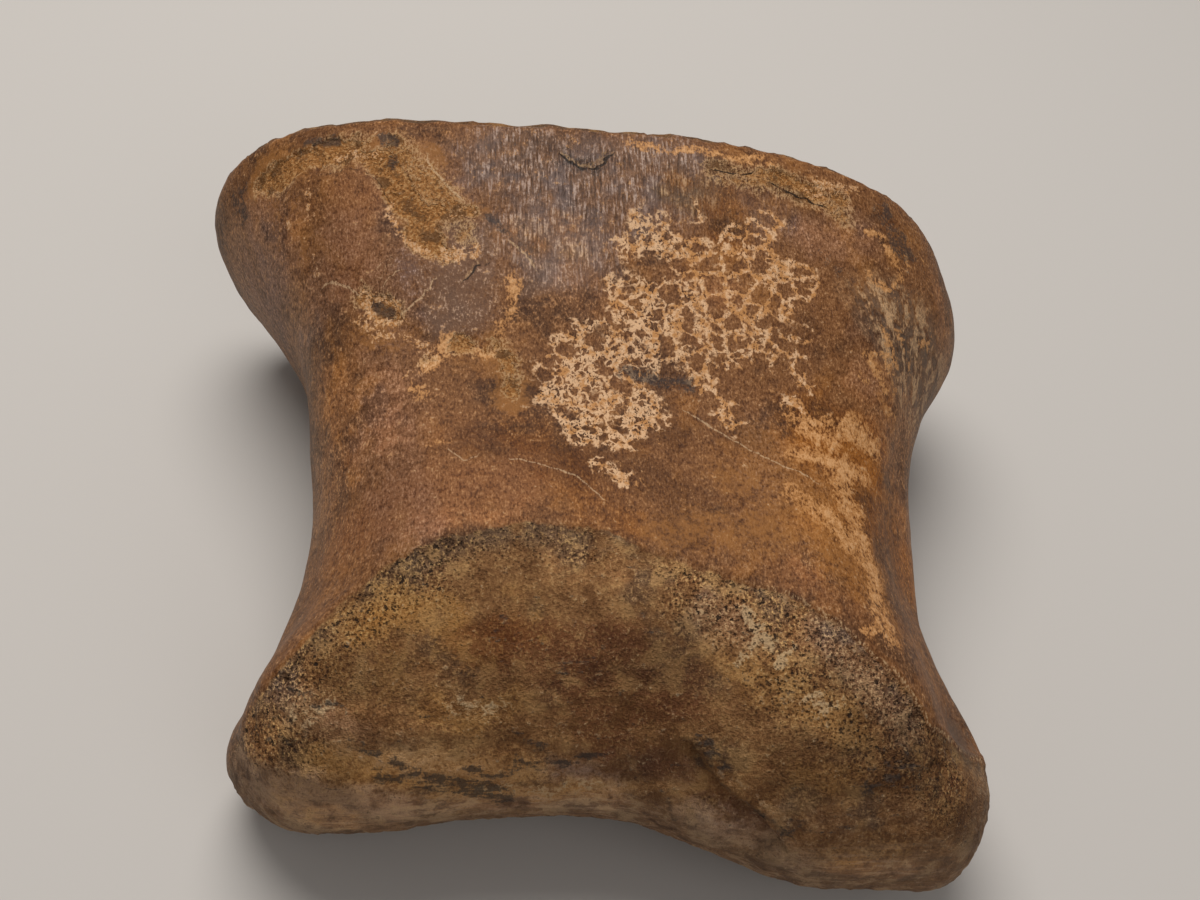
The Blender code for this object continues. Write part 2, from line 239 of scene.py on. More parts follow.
# Marks on the far joint surface: the path of each across it and round its roll, its half width and strength
JOINT_STROKES = {
    "pores": {
        "left edge": (((-55, 39), (-50, 49.5), (-44.5, 56.5), (-37, 62.5), (-28, 68)), 6.0, 1.0),
        "left corner": (((-57.5, 33), (-53.5, 41), (-49.5, 38.5)), 5.0, 1.0),
        "middle edge": (((-26.5, 69), (-16, 70), (-5.5, 69)), 2.6, 0.6),
        "right edge": (((11, 63), (20, 59.5), (29, 55.5), (36.5, 50.5), (44, 44.5)), 6.0, 1.0),
        "right field": (((24, 51), (33, 46), (41, 39.5)), 6.0, 0.9),
        "right corner": (((45, 39.5), (49.5, 31.5)), 5.0, 0.8),
    },
    "pale": {
        "first": (((18.5, 60), (19.5, 59), (20.5, 57)), 1.4, 1.0),
        "tail": (((19, 58), (17.5, 55.5), (16.5, 53.5)), 0.8, 0.9),
        "second": (((24.5, 56), (23, 54.5), (22, 53.5)), 1.0, 0.8),
        "third": (((26, 48.5), (28, 49.5), (28.5, 47.5), (31.5, 48)), 1.1, 0.7),
        "fourth": (((28.5, 63), (29.5, 61.5)), 0.7, 0.7),
        "left crumbs": (((-48.5, 42.5), (-44, 46)), 1.4, 0.5),
        "lower left": (((-25.5, 47), (-22, 44.5), (-19, 46)), 1.8, 0.5),
        "foot crumbs": (((-21.5, 28.5), (-12.5, 28.5), (-3.5, 30)), 1.6, 0.5),
    },
    "gold": {
        "above the foot": (((-44, 36), (-27.5, 34.5), (-15, 33.5)), 4.4, 1.0),
        "left foot": (((-48.5, 22.5), (-36.5, 21.5), (-24.5, 22.5)), 3.0, 0.6),
        "upper left": (((-41, 57.5), (-34, 60.5), (-28, 60), (-22, 55)), 3.6, 1.0),
        "left field": (((-44, 52), (-35, 50)), 4.0, 0.5),
        "middle": (((-30.5, 47), (-23.5, 43.5), (-16, 47)), 3.0, 0.7),
        "foot": (((-27.5, 28), (-15.5, 27.5), (-0.5, 29.5)), 2.6, 0.9),
        "right": (((14, 55), (22.5, 50), (33, 45)), 4.0, 0.8),
        "lower right": (((25, 38), (33, 36)), 3.0, 0.6),
        "right foot": (((18.5, 18.5), (29.5, 19.5), (42, 22)), 2.4, 0.7),
    },
    "red": {
        "hollow": (((-22, 56), (-10, 54.5), (-1, 56)), 4.5, 1.0),
        "hollow middle": (((-10, 48.5), (0.5, 47), (9, 49)), 6.0, 0.8),
        "hollow foot": (((-4, 39.5), (5, 36.5)), 5.0, 0.7),
        "right spot": (((48.5, 30.5), (50.5, 31)), 1.8, 1.0),
        "right foot": (((11, 31.5), (17.5, 24.5)), 4.0, 0.6),
    },
    # Smoother, paler bone low on the joint; on the lower left it is also painted light that lifts a face
    # turned down
    "smooth": {
        "left foot": (((-54.5, 27), (-47, 27.5), (-36.5, 24.5)), 6.0, 1.0),
        "middle foot": (((-9.5, 33.5), (-0.5, 29)), 3.0, 0.4),
        "right foot": (((10, 26.5), (16.5, 21), (27, 19)), 4.0, 0.6),
    },
    "dark": {
        "first": (((-40, 39), (-37, 38)), 1.1, 0.9),
        "second": (((-34.5, 36), (-31.5, 34.5), (-29, 32.5)), 1.1, 1.0),
        "third": (((-29, 33), (-24.5, 31), (-19.5, 29.5)), 1.4, 1.0),
        "fourth": (((-23, 34), (-18.5, 32.5), (-16, 36)), 1.2, 0.9),
        "fifth": (((-18.5, 29), (-16.5, 27.5)), 1.3, 0.9),
        "sixth": (((-16, 40), (-12, 38.5)), 1.0, 0.8),
        "left corner": (((-56, 36), (-52, 37), (-48.5, 39.5)), 1.8, 0.6),
        "groove": (((-50, 46.5), (-46, 45.5), (-42.5, 46)), 0.7, 0.8),
        "middle stain": (((10.5, 42), (12.5, 39.5), (14, 36.5)), 1.6, 0.8),
        "right hollow": (((36, 34), (41, 37.5), (45, 35)), 3.0, 0.6),
        "brown smear": (((-17.5, 55), (-10, 52.5), (-4, 54)), 2.2, 0.5),
        "right foot": (((20, 27.5), (26, 26.5), (31.5, 28)), 2.4, 0.4),
        "left streak": (((-36, 33.5), (-30, 31), (-24.5, 29)), 1.9, 1.0),
        "middle streak": (((-22.5, 28), (-17, 26)), 2.0, 1.0),
        "upper streak": (((-18.5, 34), (-10.5, 34.5)), 1.8, 0.9),
        "end streak": (((-9, 35), (-5, 37)), 1.5, 0.8),
    },
    "cool": {
        "right pores": (((29, 58), (35.5, 52.5), (42, 43)), 4.0, 0.8),
        "top": (((13, 59), (16, 58)), 4.0, 0.8),
        "left": (((-50, 44.5), (-42.5, 41.5), (-29, 35), (-14, 34), (7, 34.5)), 4.0, 0.6),
        "right foot": (((14.5, 26.5), (28.5, 29), (42.5, 29.5)), 4.0, 0.5),
    },
    "hot": {
        "left pores": (((-36, 58), (-26.5, 56), (-15, 58.5)), 6.0, 0.35),
        "left corner": (((-50.5, 24.5), (-36.5, 19)), 4.0, 0.35),
        "right corner": (((30, 18), (39, 18)), 3.0, 0.25),
    },
    # Painted shadow: dark lines under the chip's scarp and along the fold
    "line": {
        "chip": (((11, 35.5), (15.5, 32.5), (19, 29.5), (24.5, 25.5)), 0.7, 0.9),
        "fold": (((6, 28.5), (8, 23.5), (10, 17)), 0.6, 0.7),
    },
    # Painted highlight: pale lips along the chip's scarp and the right crest
    "lip": {
        "chip": (((13, 36), (17, 34), (20, 31.5), (23.5, 28.5)), 0.7, 0.7),
        "right crest": (((24.5, 62), (28, 60.5), (32.5, 59), (37, 56), (39.5, 53)), 0.7, 0.8),
    },
    "light": {
        "below the right ledge": (((21.5, 63.5), (21.5, 58.5), (28.5, 58)), 5.0, 1.0),
        "right pores": (((35, 56.5), (42, 48.5)), 5.0, 0.6),
        "chip facet": (((13, 27.5), (18.5, 21.5)), 3.5, 0.3),
        "left corner": (((-58.5, 32), (-54.5, 42), (-50, 49.5)), 4.2, 1.0),
        "left foot": (((-51, 23), (-42.5, 21)), 4.0, 0.8),
        "upper middle": (((-10, 67), (11.5, 65), (26.5, 61.5)), 4.0, 0.7),
        "upper right": (((17, 59), (29, 57.5)), 5.0, 0.8),
        "left field": (((-43, 44), (-28, 43.5)), 4.0, 0.5),
        "lower left": (((-37, 33.5), (-26, 33.5), (-5, 34)), 4.6, 1.0),
        "foot": (((-36, 26), (-3, 26)), 4.0, 1.0),
        "right foot": (((33, 18), (42.5, 17.5)), 3.0, 0.8),
    },
    "umber": {
        "middle foot": (((-8, 35), (0.5, 34)), 4.0, 0.8),
        "left": (((-44, 50), (-35, 51)), 4.0, 0.6),
        "middle": (((-22, 51.5), (-13, 50.5)), 4.0, 0.5),
        "hollow": (((-2.5, 51.5), (9, 53)), 5.0, 0.7),
        "right hollow": (((26, 38.5), (34.5, 37), (45, 35)), 6.0, 1.0),
        "under the right edge": (((34.5, 44), (41, 41)), 4.0, 0.7),
        "right corner": (((49.5, 27.5), (54.5, 23)), 4.0, 0.8),
        "chip end": (((20.5, 17), (23.5, 15)), 3.0, 0.6),
    },
}

# Places where the outer skin of bone has flaked off: a path over the upper face, and its half width
FLAKES = {
    "rim scar": (((-58, 52), (-50, 52), (-43, 51), (-37, 47), (-34, 40), (-31, 33), (-28, 30)), 2.4),
    "branch": (((-33, 38), (-27, 36.5), (-23, 36.5)), 1.2),
    "chip": (((-41, 24), (-37, 20.5), (-35, 19)), 1.3),
    "strip": (((-30, 10.5), (-27, 12.5), (-24, 13.5), (-20, 12)), 0.7),
    "speckled patch": (((-19, 13), (-17, 9), (-16.5, 4)), 1.2),
    "right rim scar": (((31, 46), (37, 44.5), (42, 45)), 1.8),
}

# Black cracks: a path over the upper face, and how wide open it is
CRACKS = {
    "middle rim crack": (((-7.5, 46.5), (-4.5, 44.5), (-1.5, 44.5), (1, 47)), 0.9),
    "short rim crack": (((19, 45.5), (22.5, 45), (26, 46)), 0.8),
    "right rim crack": (((30, 44.5), (33.5, 43.5), (37, 43), (39, 42.5)), 1.0),
    "plate crack": (((-24, 24.5), (-22.5, 26), (-20.5, 27.5)), 0.7),
    "plate arc": (((-47, 47.5), (-43.5, 47.5), (-40.5, 46), (-38.5, 44), (-37.5, 41.5), (-36, 39)), 0.22),
    "far joint crack": (((-3, -50), (1, -45), (4, -40)), 0.4),
}

# Pale hairlines in the same form
HAIRLINES = {
    "plate edge": (((-30.5, 47.5), (-29.5, 45), (-26.5, 41), (-24.5, 39)), 0.8),
    "lower plate edge": (((-16.5, 31), (-13.5, 28.5), (-12, 26)), 1.0),
    "chip to plate": (((-34.5, 19.5), (-32.5, 21), (-30, 23), (-29, 24.5)), 0.8),
    "left of the chip": (((-47.5, 29.5), (-46, 29), (-43, 26.5), (-41.5, 24.5)), 0.8),
    "first scratch": (((-37.5, 25), (-35, 27)), 0.4),
    "second scratch": (((-38.5, 27.5), (-36.5, 29.5)), 0.35),
    "long scratch": (((12, 1.5), (18.5, -3), (25.5, -7), (32, -9.5)), 0.6),
    "far hairline": (((-17, -8.5), (-12.5, -9.5), (-9.5, -10.5), (-6.5, -12), (-3, -16)), 0.45),
    "left fork": (((-27, -6), (-24, -9), (-22, -8)), 0.4),
}

# Where the skin of bone steps down by a fraction of a millimetre on the left of a path
STEPS = {
    "right plate": (((-35, 53.5), (-30, 46.5), (-25, 39.5), (-20, 35.5), (-16, 31), (-12, 26)), 0.35),
    "upright edge": (((-12, 26), (-16, 22), (-17, 18), (-19, 14)), 0.3),
    "strip edge": (((-19, 14), (-24, 15.5), (-28, 14), (-34, 18)), 0.3),
}

# The same on the far joint surface: a chip broken from its lower edge, and two low shelves
JOINT_STEPS = {
    "chip": (((24, 22), (21, 26.5), (18, 30), (14, 33), (11, 38), (9.5, 40)), 2.0),
    "fold": (((7.5, 24.5), (6, 28), (4.5, 34), (3.5, 40), (2, 47)), 0.35),
    "shelf": (((-38, 27.5), (-44, 30), (-48.5, 32), (-54, 31.5), (-58.5, 30.5)), 0.5),
}

# Streaks on the right flank run together at this point
FAN_POINT = (53.0, 8.0)

# The pit for a ligament: the solid holds it, and here it is deepened, and darkened with painted shade
PIT_CENTRE = (56.0, -44.5, 31.0)
PIT_SIZE = (6.0, 5.0, 5.0)

# How far from its path a step in the skin takes to rise again, on the upper face and on the joint surface
STEP_REACH = 6.0
JOINT_STEP_REACH = 11.0

# Broad noises that vary the colour everywhere: size in millimetres, seed and octaves
BROAD_GRAIN = {
    "mottle": (12.0, 15.0, 4),
    "clouds": (3.2, 16.0, 3),
    "blotch": (7.5, 17.0, 4),
}

# Broad soft areas of other tone: each multiplies the colour under it
TONES = {
    "light": (1.5, 1.5, 1.5),
    "umber": (0.60, 0.57, 0.55),
    "cool": (0.96, 1.04, 1.36),
    "hot": (1.06, 0.92, 0.62),
}

# Finer tints of the finish, as linear values; a few of them are painted highlights and shade, marked below
TINTS = {
    "side": (0.205, 0.130, 0.080),
    "speck": (0.46, 0.235, 0.105),
    "gloss": (0.155, 0.086, 0.056),
    # Painted highlight: the glints on the glossy plate
    "glint": (0.500, 0.340, 0.240),
    "grooved": (0.200, 0.125, 0.088),
    "groove": (0.048, 0.027, 0.020),
    "bright tan": (0.68, 0.37, 0.165),
    "crumb": (0.52, 0.285, 0.115),
    "crevice": (0.075, 0.034, 0.013),
    "flake edge": (0.58, 0.36, 0.18),
    "hairline": (0.56, 0.37, 0.21),
    "crack lip": (0.46, 0.28, 0.13),
    "fan ground": (0.150, 0.115, 0.085),
    "fan streak": (0.340, 0.210, 0.115),
    "fan glint": (0.600, 0.370, 0.195),
    "joint edge": (0.095, 0.068, 0.048),
    "joint crest": (0.52, 0.34, 0.18),
    # Partly the paler foot's own colour, partly painted light on the down-turned lower left
    "smooth foot": (0.410, 0.250, 0.145),
    "pale layer": (0.48, 0.31, 0.185),
    "dark layer": (0.075, 0.045, 0.030),
    "grit": (0.48, 0.285, 0.115),
    "patch": (0.42, 0.235, 0.090),
    "foot": (0.220, 0.145, 0.098),
    "pale foot": (0.400, 0.270, 0.160),
    "streak": (0.036, 0.027, 0.023),
    # Painted shadow under the steps of the joint surface, and a painted highlight on their lips
    "step": (0.045, 0.028, 0.019),
    "step lip": (0.380, 0.235, 0.125),
    "rim": (0.080, 0.045, 0.022),
    # Painted shade in the ligament's pit
    "ligament pit": (0.090, 0.060, 0.044),
}

# What fine shading multiplies the colour by where it is deepest
SHADES = {
    "speck": (0.42, 0.34, 0.29),
    "mottle": (0.52, 0.45, 0.42),
    "grit": (0.32, 0.26, 0.21),
    "patch": (0.45, 0.36, 0.30),
    "foot": (0.42, 0.38, 0.36),
}

# The studio, in metres: half the floor's width, where the camera aims, and each lamp's place, size and colour
FLOOR_HALF = 1.5
AIM = (0.0002, 0.0106, 0.032)
LAMPS = {
    "key": ((-0.08, 0.26, 0.70), 0.55, (1.0, 0.985, 0.96)),
    "fill": ((0.25, -0.5, 0.55), 0.6, (0.97, 0.98, 1.0)),
}
ROOM_COLOUR = (1.0, 0.985, 0.97, 1.0)


def number_property(name, description, value, unit="LENGTH"):
    return bpy.props.FloatProperty(name=name, description=description, default=value, unit=unit)


def colour_property(name, description, value):
    return bpy.props.FloatVectorProperty(
        name=name, description=description, default=value, subtype="COLOR", size=3, min=0.0, max=1.0
    )


class FossilSurface(bpy.types.PropertyGroup):
    """Sizes of the relief on the bone."""

    ledge: number_property("Joint ledge", "Height of the crest along the joint surface's edge", 0.00035)
    flake: number_property("Flake depth", "Thickness of the skin of bone that has flaked off", 0.00045)
    unevenness: number_property("Unevenness", "Height of the slow swells over the whole bone", 0.0005)
    crumble: number_property("Crumbled rim", "Depth of the chips along the near rim", 0.0014)
    rim_grain: number_property("Rim grain", "Height of the grain along the near rim", 0.00065)
    near_grain: number_property("Near grain", "Height of the grain on the near end", 0.00025)
    pitting: number_property("Pitting", "Depth of the worn pits in the joint surface", 0.0008)
    joint_grain: number_property("Joint grain", "Height of the grain on the joint surface", 0.00026)
    layers: number_property("Layers", "Height of the layers low on the joint surface", 0.00022)
    ligament: number_property("Ligament pit", "Extra depth of the ligament's pit", 0.0009)
    crack: number_property("Cracks", "Depth of the widest crack", 0.00035)
    grooves: number_property("Grooves", "Height of the long grooves over the whole bone", 0.00009)
    striae: number_property("Striae", "Extra height of the grooves near the near rim", 0.00016)


class FossilColours(bpy.types.PropertyGroup):
    """Colours of the mineralised bone, with the sheen and glints painted over its fibres, as linear values.
    """

    cortex: colour_property("Bone", "The smooth outer bone", (0.195, 0.080, 0.027))
    cortex_dark: colour_property("Dark bone", "Darker mottling of the outer bone", (0.100, 0.043, 0.018))
    russet: colour_property("Russet", "Redder areas of the outer bone", (0.245, 0.096, 0.033))
    warm: colour_property("Warm bone", "Orange-brown areas of the outer bone", (0.325, 0.130, 0.030))
    # Partly the fibres' own pale colour, partly painted glints on them
    striae: colour_property("Fibres", "Pale fibres near the near rim", (0.530, 0.390, 0.320))
    # Painted sheen: a blue-grey cast over the fibres
    painted_sheen: colour_property("Bloom", "Blue-grey bloom between the fibres", (0.115, 0.100, 0.105))
    cream: colour_property("Cream", "Cream root marks and broken edges", (0.720, 0.450, 0.255))
    tan: colour_property("Tan", "Orange-tan patches", (0.520, 0.245, 0.085))
    ochre: colour_property("Ochre", "Yellow-brown bone under the flakes", (0.300, 0.124, 0.032))
    joint: colour_property("Joint", "The far joint surface", (0.215, 0.101, 0.037))
    joint_dark: colour_property("Dark joint", "Darker parts of the joint surface", (0.085, 0.046, 0.024))
    joint_red: colour_property("Red joint", "The hollow between the condyles", (0.140, 0.050, 0.018))
    joint_gold: colour_property("Gold joint", "Yellower parts of the joint surface", (0.370, 0.185, 0.055))
    joint_pale: colour_property("Pale joint", "Worn pale bone on the joint surface", (0.500, 0.340, 0.185))
    pore: colour_property("Pores", "Inside the pores and cracks", (0.018, 0.010, 0.006))
    stain: colour_property("Stain", "Blue-black mineral stains", (0.032, 0.026, 0.025))


class FossilStage(bpy.types.PropertyGroup):
    """The floor, lights and camera."""

    floor: colour_property("Floor", "The plain pale floor", (0.575, 0.540, 0.505))
    key: number_property("Key light", "Power of the big soft light above and behind", 4.6, "POWER")
    fill: number_property("Fill light", "Power of the weak light in front", 0.7, "POWER")
    room: bpy.props.FloatProperty(
        name="Room light", description="Strength of the even light from all round", default=0.22, min=0.0
    )
    elevation: number_property("Camera elevation", "How far it looks down", math.radians(52.1), "ROTATION")
    turn: number_property("Camera turn", "Turn about the bone", math.radians(-9.9), "ROTATION")
    roll: number_property("Camera roll", "Roll of the picture", math.radians(8.4), "ROTATION")
    distance: number_property("Camera distance", "From the lens to the bone's middle", 0.2915)


def ramp(start, end, value):
    """0 before start, 1 after end, and smooth between them."""
    t = np.clip((value - start) / (end - start), 0.0, 1.0)
    return t * t * (3.0 - 2.0 * t)


def swell(value, centre, half_width):
    """1 where the value is at the centre, and 0 well outside the half width."""
    return np.exp(-(((value - centre) / half_width) ** 2))


def offset_from_path(x, y, path):
    """Signed distance from a path, positive on its left, and how far past its ends a point lies."""
    best = np.full_like(x, 1e6)
    signed = np.full_like(x, 1e6)
    past = np.zeros_like(x)
    last = len(path) - 2
    for i, ((x0, y0), (x1, y1)) in enumerate(zip(path, path[1:])):
        length = math.hypot(x1 - x0, y1 - y0)
        ux, uy = (x1 - x0) / length, (y1 - y0) / length
        reach = (x - x0) * ux + (y - y0) * uy
        side = (y - y0) * ux - (x - x0) * uy
        inside = np.clip(reach, 0, length)
        gap = np.hypot(reach - inside, side)
        nearer = gap < best
        best = np.where(nearer, gap, best)
        signed = np.where(nearer, np.where(side < 0, -gap, gap), signed)
        over = np.zeros_like(x)
        if i == 0:
            over = np.maximum(-reach, over)
        if i == last:
            over = np.maximum(reach - length, over)
        past = np.where(nearer, over, past)
    return signed, past


def strokes(across, along, marks):
    """How strongly a set of soft strokes marks each point: 1 on a stroke's path, 0 well outside it."""
    strength = np.zeros_like(across)
    for path, half_width, amount in marks.values():
        signed, _ = offset_from_path(across, along, path)
        strength = np.maximum(strength, amount * (1 - ramp(0.3, 1.5, np.abs(signed) / half_width)))
    return strength


def lines(x, y, paths):
    """Signed distance from the nearest of some thin lines, and how open that line is there."""
    offset = np.full_like(x, 9.0)
    opened = np.zeros_like(x)
    for path, width in paths.values():
        signed, past = offset_from_path(x, y, path)
        nearer = np.abs(signed) < np.abs(offset)
        offset = np.where(nearer, signed, offset)
        opened = np.where(nearer, width * ramp(3.0, 1.6, np.abs(signed)) * ramp(1.2, 0.0, past), opened)
    return offset, opened


def grain(points, size, seed=0.0, octaves=3):
    """Smooth noise from about -1 to 1 whose lumps are about size across."""
    shift = Vector((seed, seed * 1.7, seed * 2.3))
    scaled = points / size
    return np.array([noise.fractal(Vector(p) + shift, 1.0, 2.0, octaves) for p in scaled])


def fine_mesh():
    """A copy of the solid, merged and divided finely enough to carry relief."""
    bone = bmesh.new()
    bone.from_mesh(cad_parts[CAD_NODE].data)
    bmesh.ops.remove_doubles(bone, verts=bone.verts, dist=1e-6)
    bmesh.ops.join_triangles(
        bone, faces=bone.faces, angle_face_threshold=0.7, angle_shape_threshold=1.0, cmp_seam=False
    )
    for _ in range(2):
        bmesh.ops.subdivide_edges(bone, edges=bone.edges, cuts=1, use_grid_fill=True, smooth=1.0)
        for _ in range(3):
            bmesh.ops.smooth_vert(
                bone, verts=bone.verts, factor=0.5, use_axis_x=True, use_axis_y=True, use_axis_z=True
            )
    mesh = bpy.data.meshes.new("fossil_bone")
    bone.to_mesh(mesh)
    bone.free()
    return mesh


def read(mesh, name):
    """A vector for each point of the mesh: its place or its normal."""
    values = np.empty(len(mesh.vertices) * 3)
    mesh.vertices.foreach_get(name, values)
    return values.reshape(-1, 3)


def keep(mesh, name, values):
    """Stores one number for each point, for the finish to read."""
    layer = mesh.attributes.new(name, "FLOAT", "POINT")
    layer.data.foreach_set("value", np.ascontiguousarray(values, dtype=np.float32))


def facing_up(normals):
    """1 where the surface faces up."""
    return ramp(0.05, 0.45, normals[:, 2])


def facing_out(normals):
    """1 where the surface faces the far end."""
    return ramp(0.0, 0.3, 0.3 * normals[:, 2] - normals[:, 1])


def joint_depth(points, normals):
    """How far inside the edge of the far joint surface a point lies, in millimetres."""
    wobble = 0.7 * grain(points, 4.0, 3.1)
    edge = np.interp(points[:, 0], MARGIN_PLACES, MARGIN_Y)
    under = 14.0 * ramp(0.1, -0.5, normals[:, 2]) * ramp(16, 6, points[:, 2])
    return edge + under - points[:, 1] + wobble


def near_depth(points, normals):
    """How far inside the near rim a point lies, judged by how squarely it faces the near end."""
    return (normals[:, 1] - 0.55) * 12.0 * ramp(20, 40, points[:, 1]) - 4.0 * ramp(40, 20, points[:, 1])


def flake_depth(points, normals):
    """How far inside a flaked place a point lies, in millimetres."""
    warp = 1.7 * grain(points, 4.5, 7.7) + 0.6 * grain(points, 1.8, 1.3)
    inside = np.full(len(points), -9.0)
    for path, half_width in FLAKES.values():
        signed, _ = offset_from_path(points[:, 0], points[:, 1], path)
        inside = np.maximum(inside, half_width - np.abs(signed))
    inside = np.where(facing_up(normals) > 0.5, inside, -9.0)
    return np.clip(inside + warp, -9.0, 9.0)


def line_marks(points, normals):
    """The cracks and the pale hairlines: signed distance and openness of each."""
    wander = 0.45 * grain(points, 3.5, 4.2) + 0.5 * grain(points, 1.6, 14.2, 2)
    x, y = points[:, 0] + wander, points[:, 1] - wander
    up = facing_up(normals)
    crack, crack_open = lines(x, y, CRACKS)
    hair, hair_open = lines(x, y, HAIRLINES)
    return {"crack": crack, "crack_open": crack_open * up, "hair": hair, "hair_open": hair_open * up}


def round_roll(points):
    """A second coordinate for the far joint surface, which grows from its foot up to its upper edge."""
    return points[:, 2] + 0.6 * (points[:, 1] + 50.0)


def steps_down(x, y, paths, reach):
    """Depth of shallow steps that drop on the left of each path and rise again within reach."""
    depth = np.zeros_like(x)
    for path, drop in paths.values():
        signed, past = offset_from_path(x, y, path)
        depth += drop * ramp(-0.4, 0.4, signed) * ramp(reach, 1.0, signed) * ramp(2.0, 0.0, past)
    return depth


def steps(points, normals):
    """Depth of the places where a plate of the bone's skin ends or a chip has come away."""
    wander = 0.5 * grain(points, 3.5, 4.2)
    x = points[:, 0] + wander
    top = steps_down(x, points[:, 1] - wander, STEPS, STEP_REACH) * facing_up(normals)
    joint = steps_down(x, round_roll(points) - wander, JOINT_STEPS, JOINT_STEP_REACH)
    return top + joint * facing_out(normals)


def ligament_pit(points):
    """1 in the middle of the ligament's pit on the right of the far joint, and 0 well outside it."""
    gap = (points - np.array(PIT_CENTRE)) / np.array(PIT_SIZE)
    return np.exp(-(gap**2).sum(1))


def relief(points, normals, surface, places, line):
    """Height of the worn surface above the smooth solid, in millimetres."""
    joint, near, flake = places["joint"], places["near"], places["flake"]
    on_top = facing_up(normals)
    swells = 0.6 * grain(points, 22.0, 0.4) + 0.3 * grain(points, 8.0, 2.4) - 0.4
    height = surface.unevenness / MM * swells
    crest = surface.ledge / MM * (0.5 + 0.5 * ramp(10, 40, points[:, 0])) * (0.4 + 0.6 * on_top)
    height += crest * (swell(joint, -0.9, 0.9) - 0.8 * ramp(-0.6, 0.6, joint) * ramp(7.0, 1.0, joint))
    height += surface.joint_grain / MM * ramp(0, 2, joint) * grain(points, 2.4, 5.0)
    height -= surface.flake / MM * ramp(-0.4, 0.5, flake) * (1.1 + 1.1 * grain(points, 2.2, 19.0))
    height -= steps(points, normals) + surface.ligament / MM * ligament_pit(points)
    height -= surface.crack / MM * swell(line["crack"], 0.0, 0.7) * line["crack_open"]
    rim = swell(near, 0.0, 2.6) * ramp(20, 45, points[:, 1])
    chips = np.maximum(grain(points, 6.0, 9.0, 4), 0)
    right = ramp(40, 60, points[:, 0])
    height -= surface.crumble / MM * rim * (chips * (1.5 + 1.5 * right) + 0.2)
    height += surface.rim_grain / MM * rim * grain(points, 2.7, 6.0)
    height += surface.near_grain / MM * ramp(0, 2, near) * grain(points, 3.5, 8.0)
    pits = strokes(points[:, 0], round_roll(points), JOINT_STROKES["pores"]) * ramp(0, 1.5, joint)
    height -= surface.pitting / MM * pits * ramp(0.25, 0.8, grain(points, 2.1, 12.0, 2))
    layers = ramp(34, 24, points[:, 2]) * facing_out(normals) * ramp(0, 3, joint)
    height += surface.layers / MM * layers * grain(points * np.array([0.12, 1.0, 1.0]), 1.7, 31.0, 2)
    fibres = strokes(points[:, 0], points[:, 1], STROKES["striated"]) * on_top * ramp(0.5, -1, joint)
    stretched = points * np.array([1.0, 0.16, 0.35])
    height += (surface.grooves + surface.striae * fibres) / MM * grain(stretched, 1.5, 4.0, 2)
    return height


def colour_marks(points, normals, places, mesh):
    """Keeps the strength of every coloured mark on the mesh, for the finish to read."""
    on_top = facing_up(normals)
    over_edge = ramp(-0.4, 0.0, normals[:, 2])
    rough = grain(points, 4.0, 21.0, 4)
    drift = 1.5 * grain(points, 4.5, 23.0)
    x, y, z = points[:, 0] + drift, points[:, 1] - drift, points[:, 2]
    for name, marks in STROKES.items():
        strength = strokes(x, y, marks) * (over_edge if name in TONES else on_top)
        keep(mesh, name, strength + 0.35 * rough * ramp(0.0, 0.4, strength))
    for name, marks in JOINT_STROKES.items():
        strength = strokes(x, round_roll(points) - drift, marks) * facing_out(normals)
        keep(mesh, "joint_" + name, strength + 0.35 * rough * ramp(0.0, 0.4, strength))
    for name, (size, seed, octaves) in BROAD_GRAIN.items():
        keep(mesh, name, grain(points, size, seed, octaves))
    striae = strokes(x, y, STROKES["striated"]) * on_top
    # Where the painted blue-grey sheen lies over the fibres
    keep(mesh, "painted_sheen", striae * ramp(-0.1, 0.4, grain(points, 6.0, 33.0)))
    joint = places["joint"]
    keep(mesh, "joint_edge", ramp(7.0, 0.5, joint) * ramp(-0.4, 0.2, grain(points, 5.0, 27.0)))
    keep(mesh, "crest", 0.1 + 0.9 * ramp(14, 36, points[:, 0]))
    keep(mesh, "joint_foot", ramp(34, 26, z) * facing_out(normals))
    rim = ramp(3.2, 0.4, np.abs(places["near"])) * ramp(20, 40, points[:, 1])
    keep(mesh, "rim", rim * ramp(-0.3, 0.25, grain(points, 5.0, 29.0)))
    keep(mesh, "side", ramp(0.45, 0.8, np.abs(normals[:, 0])) * ramp(0.6, 0.2, normals[:, 2]))
    angle = np.arctan2(points[:, 0] - FAN_POINT[0], points[:, 1] - FAN_POINT[1])
    reach = np.hypot(points[:, 0] - FAN_POINT[0], points[:, 1] - FAN_POINT[1])
    fan = ramp(27, 20, reach) * ramp(2, 8, reach) * ramp(0.75, 0.35, np.abs(angle - 0.05))
    keep(mesh, "fan", fan * ramp(-0.1, 0.2, normals[:, 2]))
    keep(mesh, "fan_angle", angle * 7.0)
    keep(mesh, "fan_reach", reach / 7.0)
    keep(mesh, "dense", ramp(18, 4, points[:, 0]))
    keep(mesh, "pit", ligament_pit(points))


def dressed_bone(surface):
    """The worn bone, with the strength of every mark kept on it."""
    mesh = fine_mesh()
    points = read(mesh, "co") / MM
    normals = read(mesh, "normal")
    places = {
        "joint": joint_depth(points, normals),
        "near": near_depth(points, normals),
        "flake": flake_depth(points, normals),
    }
    line = line_marks(points, normals)
    height = relief(points, normals, surface, places, line)
    worn = np.clip(points + normals * height[:, None], LOW, HIGH)
    mesh.vertices.foreach_set("co", (worn * MM).ravel())
    mesh.update()
    mesh.shade_smooth()
    for name, values in (places | line).items():
        keep(mesh, name, values)
    colour_marks(points, normals, places, mesh)
    return bpy.data.objects.new("fossil_bone", mesh)


